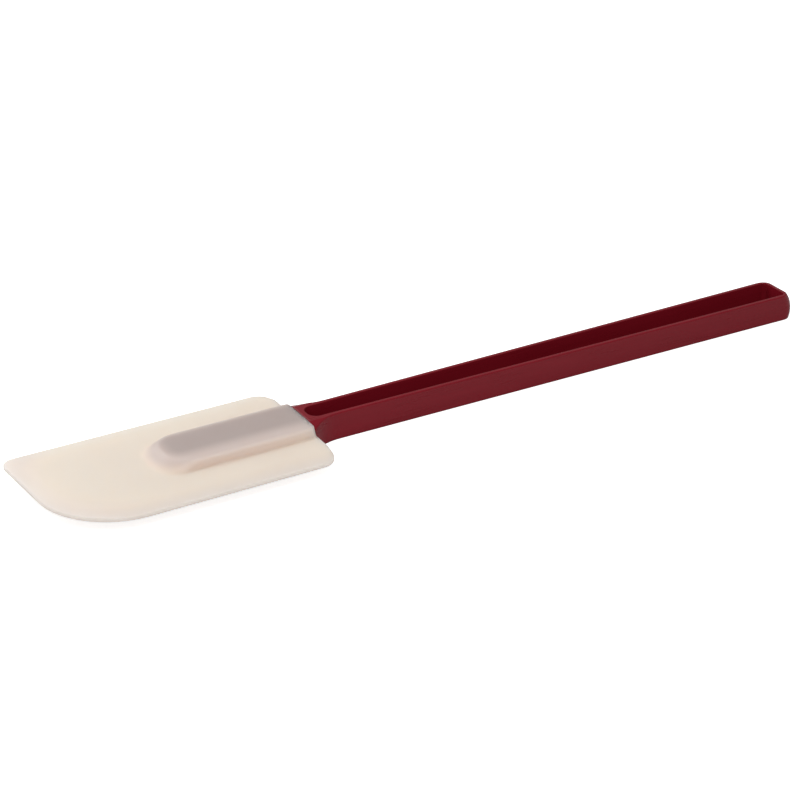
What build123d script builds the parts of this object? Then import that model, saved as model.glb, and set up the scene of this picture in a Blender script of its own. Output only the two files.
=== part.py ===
"""Silicone spatula: a soft scraping blade moulded round the tang of a stiff channel-section handle.

The spatula lies on the flat back of its handle, with the blade held clear of the surface.
X runs from the blade's tip to the end of the grip, Y across the blade, Z up. The origin is
midway along the whole length, at the surface that the handle rests on. Sizes are in millimetres.
"""

from build123d import *
import math
import os

os.makedirs("parts", exist_ok=True)

# Whole spatula
overall_length = 352.7
blade_length = 113.5

# Handle grip
handle_height = 11.8
neck_width = 13.4
grip_width = 18.1
grip_corner_radius = 4.0
grip_end_upper_lean = 2.6
grip_end_lower_lean = 0.8
rim_round = 0.6

# Channel in the upper face of the grip, closed below by the handle's flat back
wall = 1.9
back_thickness = 2.2
grip_end_wall = 4.0
collar_block = 2.4
channel_collar_radius = 4.0
channel_end_radius = 2.0
channel_draft = 1.0
channel_floor_round = 1.0
channel_rim_round = 0.3

# Collar that flares from the neck to the blade
collar_length = 13.3
collar_width = 24.8
collar_flat_width = 14.2
collar_edge_height = 8.0

# Tang inside the blade, with the windows that the silicone fills
tang_length = 58.0
tang_width = 12.6
tang_end_width = 11.6
tang_thickness = 8.0
tang_end_radius = 5.0
tang_round = 1.5
window_diameter = 4.0
window_count = 3
window_end_margin = 9.0

# Blade plate, thick in the middle and bevelled to its scraping edge
blade_width = 65.6
blade_thickness = 4.0
edge_thickness = 1.8
edge_bevel = 8.0
tip_slant = 4.0
square_corner_radius = 5.0
sweep_corner_radius = 32.0
base_corner_radius = 7.0

# Boss over the tang, the same on both faces of the blade
boss_height = 11.4
boss_side_height = 11.0
boss_width = 26.8
boss_length = 60.5
boss_end_radius = 11.0
boss_base_radius = 1.6
boss_side_spread = 0.8
boss_end_spread = 8.0
boss_round = 1.0

# Length by which a cut runs past the solid it cuts
overrun = 1.0

# Share of a face's direction that points up or down when the face counts as a top or bottom one
upright_share = 0.5

# Places along the length and the mid height that the blade shares with the handle
tip_x = -overall_length / 2
grip_x = overall_length / 2
joint_x = tip_x + blade_length
neck_x = joint_x + collar_length
mid_z = handle_height / 2


def outline(points, radii):
    """Flat face inside the given corners, each rounded by its own radius."""
    return make_face(FilletPolyline(*points, radius=radii, close=True))


def at_height(face, height):
    """The face, lifted by a height above the mid plane of the blade and handle."""
    return Pos(0, 0, mid_z + height) * face


def both_faces(solid):
    """The solid joined with its mirror image in the mid plane."""
    return solid + mirror(solid, Plane.XY.offset(mid_z))


def grip_half_width(x):
    """Half the width of the tapering grip at a place along the length."""
    share = (x - neck_x) / (grip_x - neck_x)
    return (neck_width + (grip_width - neck_width) * share) / 2


def handle_outline():
    """Plan of the grip and the collar, flared by an arc that leaves the grip smoothly."""
    taper = (grip_width - neck_width) / 2 / (grip_x - neck_x)
    neck = (neck_x, neck_width / 2)
    half = Curve() + [
        Line((joint_x, 0), (joint_x, collar_width / 2)),
        TangentArc(neck, (joint_x, collar_width / 2), tangent=(-1, -taper)),
        Polyline(neck, (grip_x, grip_width / 2), (grip_x, 0)),
    ]
    return make_face(half.edges() + mirror(half, Plane.XZ).edges())


def channel_outline():
    """Plan of the channel at its mouth, a wall's thickness inside the grip."""
    start = joint_x + collar_block
    end = grip_x - grip_end_wall
    start_half = grip_half_width(start) - wall
    end_half = grip_half_width(end) - wall
    corners = [(start, -start_half), (end, -end_half), (end, end_half), (start, start_half)]
    radii = [channel_collar_radius, channel_end_radius, channel_end_radius, channel_collar_radius]
    return outline(corners, radii)


def along_x(section, start, length):
    """Solid with a cross section drawn about the mid plane and carried along the length."""
    return extrude(Pos(start, 0, mid_z) * (Plane.YZ * make_face(section)), amount=length)


def crowned_bar():
    """Grip and collar at full height, with a bulged end that leans back most at its upper edge."""
    top = handle_height / 2
    upper_end = grip_x - grip_end_upper_lean
    lower_end = grip_x - grip_end_lower_lean
    lean_ratio = math.sqrt(grip_end_upper_lean / grip_end_lower_lean)
    widest = top * (1 - lean_ratio) / (1 + lean_ratio)
    side_view = make_face(Curve() + [
        Polyline((upper_end, top), (joint_x, top), (joint_x, -top), (lower_end, -top)),
        ThreePointArc((lower_end, -top), (grip_x, widest), (upper_end, top)),
    ])
    lengthwise = extrude(Pos(0, 0, mid_z) * (Plane.XZ * side_view), amount=collar_width, both=True)
    bar = extrude(handle_outline(), amount=handle_height) & lengthwise
    return fillet(bar.edges().filter_by(GeomType.ELLIPSE), grip_corner_radius)


def collar_slopes():
    """Wedges that slope the collar's faces down from the flat in their middle to its sides."""
    inner = collar_flat_width / 2
    outer = collar_width / 2
    top = handle_height / 2
    fall = (top - collar_edge_height / 2) / (outer - inner)
    past = outer + overrun
    low = top - fall * (past - inner)
    high = top + overrun
    corners = [(inner, top), (past, low), (past, high), (inner, high)]
    wedge = along_x(Polyline(*corners, close=True), joint_x - overrun, collar_length + overrun)
    return both_faces(wedge + mirror(wedge, Plane.XZ))


def channel():
    """The channel, drafted towards its floor and rounded where its walls meet the floor."""
    mouth = at_height(channel_outline(), handle_height / 2)
    solid = extrude(mouth, amount=-(handle_height - back_thickness), taper=channel_draft)
    return fillet(solid.faces().sort_by(Axis.Z)[0].edges(), channel_floor_round)


def grip_with_collar():
    """Grip and collar as one bar, rounded along both faces and hollowed from above by the channel."""
    bar = crowned_bar() - collar_slopes()
    flats = bar.faces().filter_by(Axis.Z)
    slopes = bar.faces().filter_by(lambda face: abs(face.normal_at().Z) > upright_share) - flats
    creases = flats.edges().filter_by(Axis.X)
    bar = fillet(flats.edges() + slopes.edges() - creases, rim_round)
    bar = bar - channel()
    upper = bar.faces().filter_by(Axis.Z).sort_by(Axis.Z)[-1]
    return fillet(upper.inner_wires().edges(), channel_rim_round)


def tang():
    """Flat bar that runs from the collar into the blade, with a row of round windows."""
    end = joint_x - tang_length
    corners = [(end, -tang_end_width / 2), (joint_x, -tang_width / 2),
               (joint_x, tang_width / 2), (end, tang_end_width / 2)]
    plan = outline(corners, [tang_end_radius, 0, 0, tang_end_radius])
    bar = extrude(at_height(plan, -tang_thickness / 2), amount=tang_thickness)
    faces = bar.faces().sort_by(Axis.Z)
    bar = fillet(faces[0].edges() + faces[-1].edges(), tang_round)
    pitch = (tang_length - 2 * window_end_margin) / (window_count - 1)
    for index in range(window_count):
        window = Cylinder(window_diameter / 2, tang_thickness + 2 * overrun)
        bar -= Pos(end + window_end_margin + pitch * index, 0, mid_z) * window
    return bar


def blade_outline(inset):
    """Plan of the blade: square far corner, wide swept near corner, straight base.

    The tip and both sides draw in by the inset, and the base stays where it meets the collar.
    """
    slant = math.radians(tip_slant)
    corner_reach = square_corner_radius * ((1 + math.sin(slant)) / math.cos(slant) - 1)
    side = blade_width / 2 - inset
    far_tip = tip_x - corner_reach + inset / math.cos(slant) + inset * math.tan(slant)
    near_tip = far_tip + 2 * side * math.tan(slant)
    corners = [(near_tip, -side), (joint_x, -side), (joint_x, side), (far_tip, side)]
    radii = [sweep_corner_radius - inset, base_corner_radius, base_corner_radius, square_corner_radius]
    return outline(corners, radii)


def blade_plate():
    """Plate of even thickness at its edge, rising over the bevel to the flat middle."""
    rim = extrude(at_height(blade_outline(0), -edge_thickness / 2), amount=edge_thickness)
    rise = loft([at_height(blade_outline(0), edge_thickness / 2),
                 at_height(blade_outline(edge_bevel), blade_thickness / 2)], ruled=True)
    return rim + both_faces(rise)


def boss_outline(spread_share):
    """Plan of the boss, from its flat top at a share of 0 to its foot at a share of 1."""
    end = joint_x - boss_length - boss_end_spread * spread_share
    side = boss_width / 2 + boss_side_spread * spread_share
    corners = [(end, -side), (joint_x, -side), (joint_x, side), (end, side)]
    radii = [boss_end_radius, boss_base_radius, boss_base_radius, boss_end_radius]
    return outline(corners, radii)


def arched_section():
    """Lens-shaped bar whose faces arch over the boss from side to side."""
    rise = (boss_height - boss_side_height) / 2
    half = boss_height / 2
    radius = ((boss_width / 2) ** 2 + rise ** 2) / (2 * rise)
    reach = math.sqrt(2 * radius * half - half ** 2)
    arcs = [ThreePointArc((-reach, 0), (0, side * half), (reach, 0)) for side in (1, -1)]
    length = boss_length + boss_end_spread
    return along_x(arcs, joint_x - length - overrun, length + 2 * overrun)


def boss():
    """Boss that swells both faces of the blade over the tang, rounded along its upper edges."""
    upper = loft([at_height(boss_outline(0), boss_height / 2), at_height(boss_outline(1), 0)], ruled=True)
    solid = both_faces(upper) & arched_section()
    faces = solid.faces().sort_by(Axis.Z)
    return fillet(faces[0].edges() + faces[-1].edges(), boss_round)


def build_handle():
    """Grip, collar and tang in one moulding."""
    return grip_with_collar() + tang()


def build_blade():
    """Plate and boss in one moulding, cast round the tang and through its windows."""
    return blade_plate() + boss() - tang()


handle = build_handle()
blade = build_blade()

for name, solid in {"handle": handle, "silicone_blade": blade}.items():
    solid.label = name
    export_step(solid, f"parts/{name}.step")
    box = solid.bounding_box()
    print(name, "solids", len(solid.solids()), "volume", round(solid.volume), "box", box.min, box.max)
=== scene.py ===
import math

import bmesh
import bpy
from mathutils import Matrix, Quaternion, Vector


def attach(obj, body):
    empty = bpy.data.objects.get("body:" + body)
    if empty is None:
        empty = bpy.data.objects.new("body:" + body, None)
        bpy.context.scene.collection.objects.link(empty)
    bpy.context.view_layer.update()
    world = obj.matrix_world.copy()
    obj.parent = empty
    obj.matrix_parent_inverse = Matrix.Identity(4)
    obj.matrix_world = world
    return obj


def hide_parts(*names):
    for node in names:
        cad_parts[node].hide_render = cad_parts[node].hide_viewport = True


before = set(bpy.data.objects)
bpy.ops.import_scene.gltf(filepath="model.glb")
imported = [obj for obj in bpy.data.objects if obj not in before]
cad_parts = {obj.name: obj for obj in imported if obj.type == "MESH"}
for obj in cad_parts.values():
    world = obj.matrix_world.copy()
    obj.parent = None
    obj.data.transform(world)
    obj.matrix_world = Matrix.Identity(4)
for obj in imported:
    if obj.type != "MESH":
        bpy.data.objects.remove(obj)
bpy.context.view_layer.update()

# Silicone blade
# One soft moulding of off-white silicone rubber, cast round the tang of the handle. A flat plate thins to
# its scraping edge, and on each face a boss swells over the tang. Sizes are in millimetres, and heights
# are above the mid plane that blade and handle share.
millimetre = 0.001
mid_plane = 5.9
tip_x = -176.35
joint_x = -62.85

blade_half_width = 32.8
tip_slant = math.radians(4.0)
square_corner_radius = 5.0
sweep_corner_radius = 32.0
base_corner_radius = 7.0
# Share of an inset that the base corners' radius gives up, and share of that radius by which the tab
# past the joint stays off the sides
base_inset_share = 0.6
tab_clearance_share = 1.2
corner_segments = 24

boss_half_width = 12.3
boss_length = 60.5
boss_corner_radius = 11.0
boss_base_radius = 1.6
least_corner_radius = 0.4
least_base_radius = 0.2
boss_side_spread = 2.8
boss_end_spread = 8.0
boss_height = 5.65
boss_arch_fall = 0.2
# Insets at which further contours follow the boss's arched top
boss_arch_steps = (3.0, 4.5, 6.0, 8.0, 10.0, 12.0)
smooth_angle = math.radians(40)
cut_inside_joint = 0.002
weld_distance = 0.0005
cut_tolerance = 0.0001

# Inset from the blade's outline and height, from the parting line up to the flat of the plate
plate_profile = ((0.0, 0.0), (0.0, 0.5), (0.08, 0.72), (0.28, 0.88), (0.6, 0.97), (3.5, 1.4),
                 (6.6, 1.83), (7.6, 1.94), (8.8, 2.0))
# Shares of the spreads from the boss's top to its foot, first at its end and then at its sides, and
# height, from the foot up
boss_profile = ((1.0, 1.0, 2.0), (0.84, 0.78, 2.03), (0.72, 0.64, 2.15), (0.63, 0.54, 2.38),
                (0.55, 0.46, 2.7), (0.46, 0.38, 3.15), (0.34, 0.28, 3.75), (0.24, 0.19, 4.25),
                (0.15, 0.11, 4.65), (0.07, 0.05, 4.95))
# Inset from the edge of the boss's top and fall below its arch, from the rounded edge inwards
boss_edge_profile = ((0.15, 0.3), (0.6, 0.13), (1.3, 0.04), (2.2, 0.0))


def plan_face(mesh, near_tip, far_tip, side, tip_radii, base_radius, height):
    """Face with the blade's kind of plan: two tip corners, two base corners and a tab past the joint."""
    neck = side - base_radius * tab_clearance_share
    tab_end = joint_x + side
    corners = [(tab_end, -neck), (joint_x, -neck), (joint_x, -side), (near_tip, -side),
               (far_tip, side), (joint_x, side), (joint_x, neck), (tab_end, neck)]
    verts = [mesh.verts.new((x, y, height)) for x, y in corners]
    mesh.faces.new(verts)
    lean = math.atan2(near_tip - far_tip, 2 * side)
    rounded = ((2, base_radius), (3, tip_radii[0] * math.tan(math.pi / 4 - lean / 2)),
               (4, tip_radii[1] * math.tan(math.pi / 4 + lean / 2)), (5, base_radius))
    for index, reach in rounded:
        bmesh.ops.bevel(mesh, geom=[verts[index]], offset=reach, offset_type="OFFSET", affect="VERTICES",
                        segments=corner_segments, profile=0.5, material=-1, clamp_overlap=False)
    return verts[0].link_faces[0]


def plate_face(mesh, inset, height):
    """One contour of the plate, drawn in from its outline, with the base corners kept clear of the boss."""
    side = blade_half_width - inset
    reach = square_corner_radius * ((1 + math.sin(tip_slant)) / math.cos(tip_slant) - 1)
    far_tip = tip_x - reach + inset / math.cos(tip_slant) + inset * math.tan(tip_slant)
    near_tip = far_tip + 2 * side * math.tan(tip_slant)
    radii = (sweep_corner_radius - inset, square_corner_radius)
    base_radius = base_corner_radius - inset * base_inset_share
    return plan_face(mesh, near_tip, far_tip, side, radii, base_radius, height)


def boss_face(mesh, end_share, side_share, inset, height):
    """One contour of the boss, at shares of its spreads outside its top or an inset within it."""
    side = boss_half_width + boss_side_spread * side_share - inset
    end = joint_x - boss_length - boss_end_spread * end_share + inset
    radius = max(boss_corner_radius - inset, least_corner_radius)
    base = max(boss_base_radius - inset, least_base_radius)
    return plan_face(mesh, end, end, side, (radius, radius), base, height)


def boss_arch(y):
    """Height of the boss's arched top at a place across it."""
    return boss_height - boss_arch_fall * (y / boss_half_width) ** 2


def build_blade():
    """Upper half of the blade from its contours, cut flat at the joint, then mirrored and closed.

    The flat ring between the plate's last contour and the foot of the boss is filled, and the other
    gaps are bridged.
    """
    mesh = bmesh.new()
    contours = [plate_face(mesh, inset, height) for inset, height in plate_profile]
    contours += [boss_face(mesh, end, side, 0.0, height) for end, side, height in boss_profile]
    steps = boss_edge_profile + tuple((inset, 0.0) for inset in boss_arch_steps)
    for inset, fall in steps:
        top = boss_face(mesh, 0.0, 0.0, inset, boss_height)
        for vert in top.verts:
            vert.co.z = boss_arch(vert.co.y) - fall
        contours.append(top)
    loops = [list(face.edges) for face in contours]
    bmesh.ops.delete(mesh, geom=contours[:-1], context="FACES_ONLY")
    for outer, inner in zip(loops, loops[1:]):
        if outer is loops[len(plate_profile) - 1]:
            bmesh.ops.triangle_fill(mesh, edges=outer + inner, use_beauty=True, use_dissolve=False,
                                    normal=(0, 0, 1))
        else:
            bmesh.ops.bridge_loops(mesh, edges=outer + inner)
    bmesh.ops.bisect_plane(mesh, geom=mesh.verts[:] + mesh.edges[:] + mesh.faces[:], dist=cut_tolerance,
                           plane_co=(joint_x - cut_inside_joint, 0, 0), plane_no=(1, 0, 0),
                           clear_outer=True)
    bmesh.ops.mirror(mesh, geom=mesh.verts[:] + mesh.edges[:] + mesh.faces[:], axis="Z",
                     merge_dist=weld_distance)
    rim = [edge for edge in mesh.edges if edge.is_boundary]
    bmesh.ops.holes_fill(mesh, edges=rim)
    bmesh.ops.recalc_face_normals(mesh, faces=mesh.faces[:])
    return mesh


blade_mesh = build_blade()
blade_data = bpy.data.meshes.new("silicone_blade_soft")
bmesh.ops.translate(blade_mesh, verts=blade_mesh.verts[:], vec=(0, 0, mid_plane))
bmesh.ops.scale(blade_mesh, verts=blade_mesh.verts[:], vec=(millimetre, millimetre, millimetre))
blade_mesh.to_mesh(blade_data)
blade_mesh.free()
blade_data.shade_smooth()
blade_data.set_sharp_from_angle(angle=smooth_angle)
blade = bpy.data.objects.new("silicone_blade_soft", blade_data)
bpy.context.scene.collection.objects.link(blade)


def colour(hex_value):
    """An sRGB hex colour as the linear colour that a shader takes."""
    channels = [int(hex_value[i:i + 2], 16) / 255 for i in (1, 3, 5)]
    return tuple(c / 12.92 if c <= 0.04045 else ((c + 0.055) / 1.055) ** 2.4 for c in channels) + (1.0,)


def add(tree, kind, settings=None, **links):
    """A node of that kind, with its settings made and its inputs set or linked by name, or as i0, i1."""
    node = tree.nodes.new(kind)
    for name, value in (settings or {}).items():
        setattr(node, name, value)
    for name, value in links.items():
        numbered = name[0] == "i" and name[1:].isdigit()
        socket = node.inputs[int(name[1:]) if numbered else name.replace("_", " ")]
        if isinstance(value, bpy.types.NodeSocket):
            tree.links.new(value, socket)
        else:
            socket.default_value = value
    return node


def new_material(name):
    """An empty node material, with its tree."""
    material = bpy.data.materials.new(name)
    material.use_nodes = True
    material.node_tree.nodes.clear()
    return material, material.node_tree


def plan_mask(tree, place, centre, half, radius, blur):
    """1 inside a rounded rectangle of the plan and 0 outside, with an edge blurred by the given width."""
    corner = ((half[0] - radius) * millimetre, (half[1] - radius) * millimetre, 1.0)
    offset = add(tree, "ShaderNodeVectorMath", {"operation": "SUBTRACT"}, i0=place,
                 i1=(centre[0] * millimetre, centre[1] * millimetre, 0))
    folded = add(tree, "ShaderNodeVectorMath", {"operation": "ABSOLUTE"}, i0=offset.outputs[0])
    past = add(tree, "ShaderNodeVectorMath", {"operation": "SUBTRACT"}, i0=folded.outputs[0], i1=corner)
    outside = add(tree, "ShaderNodeVectorMath", {"operation": "MAXIMUM"}, i0=past.outputs[0], i1=(0, 0, 0))
    distance = add(tree, "ShaderNodeVectorMath", {"operation": "LENGTH"}, i0=outside.outputs[0])
    ramp = add(tree, "ShaderNodeMapRange", {"interpolation_type": "SMOOTHSTEP"},
               i0=distance.outputs["Value"], i1=(radius + blur) * millimetre,
               i2=(radius - blur) * millimetre, i3=0.0, i4=1.0)
    return ramp.outputs["Result"]


# Moulded silicone rubber: milky and slightly translucent, with the satin skin of a blasted mould. Its
# colour holds painted shade: greyer over the thick boss, and a soft mauve band where the dark red tang
# shows through, pushed to its far side by painted shade. Towards the near edge and the swept scraping
# edge it thins and is darker, where the shade below the blade is painted in.
tang_length = 58.0
# Centre, half sizes, corner radius and blur of each tone's patch of the plan
edge_shade_clear_patch = ((tip_x + 92.0, 6.0), (86.0, 35.0), 34.0, 6.5)
boss_shade_patch = ((joint_x - boss_length / 2 + 4.0, 0.0), (boss_length / 2 + 8.0, boss_half_width + 0.8),
              11.9, 2.6)
tang_and_shade_patch = ((joint_x - tang_length / 2 + 6.0, 2.6), (tang_length / 2 + 6.0, 8.6), 6.0, 4.0)
cloud_size = 38 * millimetre
skin_grain_size = 0.5 * millimetre
skin_grain_depth = 0.03 * millimetre
scatter_depth = 10 * millimetre
silicone, tree = new_material("moulded_silicone")
place = add(tree, "ShaderNodeTexCoord").outputs["Object"]
cream_clouds = add(tree, "ShaderNodeTexNoise", Vector=place, Scale=1 / cloud_size, Detail=2.0,
                   Roughness=0.5)
thin_silicone = add(tree, "ShaderNodeMix", {"data_type": "RGBA"}, i0=cream_clouds.outputs["Fac"],
                    i6=colour("#F0DECD"), i7=colour("#ECD8C9"))
# Painted shade: darker along the near edge and round the tip, where the shade below the blade is painted
# into the colour
clear_of_edge_shade = plan_mask(tree, place, *edge_shade_clear_patch)
painted_edge_shade = add(tree, "ShaderNodeMix", {"data_type": "RGBA"}, i0=clear_of_edge_shade, i6=colour("#DFCFC5"),
                    i7=thin_silicone.outputs[2])
# Painted shade: the boss is greyer, where less light comes through the thick silicone
over_boss_shade = plan_mask(tree, place, *boss_shade_patch)
painted_boss_shade = add(tree, "ShaderNodeMix", {"data_type": "RGBA"}, i0=over_boss_shade,
                     i6=painted_edge_shade.outputs[2], i7=colour("#CCBDB6"))
# The dark red tang seen through the silicone, with painted shade that widens the band toward its far side
over_tang_and_shade = plan_mask(tree, place, *tang_and_shade_patch)
tang_and_painted_shade = add(tree, "ShaderNodeMix", {"data_type": "RGBA"}, i0=over_tang_and_shade, i6=painted_boss_shade.outputs[2],
                i7=colour("#B0A29D"))
mould_skin = add(tree, "ShaderNodeTexNoise", Vector=place, Scale=1 / skin_grain_size, Detail=3.0,
                 Roughness=0.6)
skin_bump = add(tree, "ShaderNodeBump", Strength=0.35, Distance=skin_grain_depth,
                Height=mould_skin.outputs["Fac"])
shader = add(tree, "ShaderNodeBsdfPrincipled", Base_Color=tang_and_painted_shade.outputs[2], Roughness=0.46, IOR=1.41,
             Subsurface_Weight=1.0, Subsurface_Radius=(1.0, 0.93, 0.86), Subsurface_Scale=scatter_depth,
             Normal=skin_bump.outputs["Normal"])
add(tree, "ShaderNodeOutputMaterial", Surface=shader.outputs[0])
blade_data.materials.append(silicone)
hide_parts("silicone_blade")
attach(blade, "root")

# Handle
# One stiff moulding of dark red, glass-filled nylon: a channel-section grip, a collar that flares to meet
# the blade, and the tang inside it. The CAD solid has its shape, so only its finish is made here.
streak_width = 4 * millimetre
streak_stretch = 0.12
mould_grain_size = 0.6 * millimetre
mould_grain_depth = 0.02 * millimetre
nylon, tree = new_material("moulded_glass_filled_nylon")
place = add(tree, "ShaderNodeTexCoord").outputs["Object"]
along = add(tree, "ShaderNodeMapping", Vector=place, Scale=(streak_stretch, 1.0, 1.0))
flow_marks = add(tree, "ShaderNodeTexNoise", Vector=along.outputs[0], Scale=1 / streak_width, Detail=4.0,
                 Roughness=0.6)
dye = add(tree, "ShaderNodeMix", {"data_type": "RGBA"}, i0=flow_marks.outputs["Fac"],
          i6=colour("#710F1B"), i7=colour("#821724"))
mould_grain = add(tree, "ShaderNodeTexNoise", Vector=place, Scale=1 / mould_grain_size, Detail=2.0,
                  Roughness=0.5)
grain_bump = add(tree, "ShaderNodeBump", Strength=0.3, Distance=mould_grain_depth,
                 Height=mould_grain.outputs["Fac"])
gloss = add(tree, "ShaderNodeMapRange", i0=flow_marks.outputs["Fac"], i1=0.3, i2=0.7, i3=0.26, i4=0.31)
shader = add(tree, "ShaderNodeBsdfPrincipled", Base_Color=dye.outputs[2], Roughness=gloss.outputs["Result"],
             IOR=1.53, Specular_IOR_Level=0.17, Normal=grain_bump.outputs["Normal"])
add(tree, "ShaderNodeOutputMaterial", Surface=shader.outputs[0])
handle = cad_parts["handle"]
handle.data.materials.clear()
handle.data.materials.append(nylon)

# Studio floor
# A wide white sweep of paper. The camera sees it lifted to white, and it keeps the spatula's own shadow.
paper, tree = new_material("white_paper")
light_path = add(tree, "ShaderNodeLightPath")
matte = add(tree, "ShaderNodeBsdfDiffuse", Color=colour("#EDEDED"))
lift = add(tree, "ShaderNodeEmission", Color=(1, 1, 1, 1), Strength=0.78)
no_lift = add(tree, "ShaderNodeEmission", Color=(0, 0, 0, 1))
camera_lift = add(tree, "ShaderNodeMixShader", i0=light_path.outputs["Is Camera Ray"],
                  i1=no_lift.outputs[0], i2=lift.outputs[0])
sheet = add(tree, "ShaderNodeAddShader", i0=matte.outputs[0], i1=camera_lift.outputs[0])
add(tree, "ShaderNodeOutputMaterial", Surface=sheet.outputs[0])
floor_mesh = bmesh.new()
bmesh.ops.create_grid(floor_mesh, x_segments=1, y_segments=1, size=3.0)
floor_data = bpy.data.meshes.new("studio_floor")
floor_mesh.to_mesh(floor_data)
floor_mesh.free()
floor_data.materials.append(paper)
floor = bpy.data.objects.new("studio_floor", floor_data)
bpy.context.scene.collection.objects.link(floor)

# Studio light
# One soft box high above the front of the spatula, a low one behind it, and an even pale surround.
world = bpy.data.worlds.new("pale_surround")
bpy.context.scene.world = world
world.use_nodes = True
world.node_tree.nodes["Background"].inputs["Color"].default_value = (1, 1, 1, 1)
world.node_tree.nodes["Background"].inputs["Strength"].default_value = 0.36


def soft_box(name, position, aim, size, power):
    """A square area lamp that points at a place on the spatula."""
    lamp = bpy.data.lights.new(name, "AREA")
    lamp.shape = "SQUARE"
    lamp.size = size
    lamp.energy = power
    holder = bpy.data.objects.new(name, lamp)
    holder.location = position
    holder.rotation_euler = (Vector(aim) - Vector(position)).to_track_quat("-Z", "Y").to_euler()
    bpy.context.scene.collection.objects.link(holder)


soft_box("key_soft_box", (-0.3, -0.62, 1.08), (0, 0, 0), 0.3, 7.0)
soft_box("back_soft_box", (-0.25, 0.38, 0.38), (-0.1, 0, 0), 0.5, 1.7)

# Camera
# The photograph's viewpoint, from a fit of the spatula's own edges: a long lens, a little above the
# blade's side.
camera_data = bpy.data.cameras.new("camera")
camera_data.lens = 97.102
camera_data.sensor_width = 36.0
camera_data.clip_end = 20.0
camera = bpy.data.objects.new("camera", camera_data)
camera.location = (-0.397633, -0.677057, 0.403195)
aim = Vector((-0.017709, 0.000652, 0.0059))
roll = -0.012388
camera.rotation_mode = "QUATERNION"
camera.rotation_quaternion = (aim - camera.location).to_track_quat("-Z", "Y") @ Quaternion((0, 0, 1), roll)
bpy.context.scene.collection.objects.link(camera)
bpy.context.scene.camera = camera
bpy.context.scene.view_settings.view_transform = "Standard"
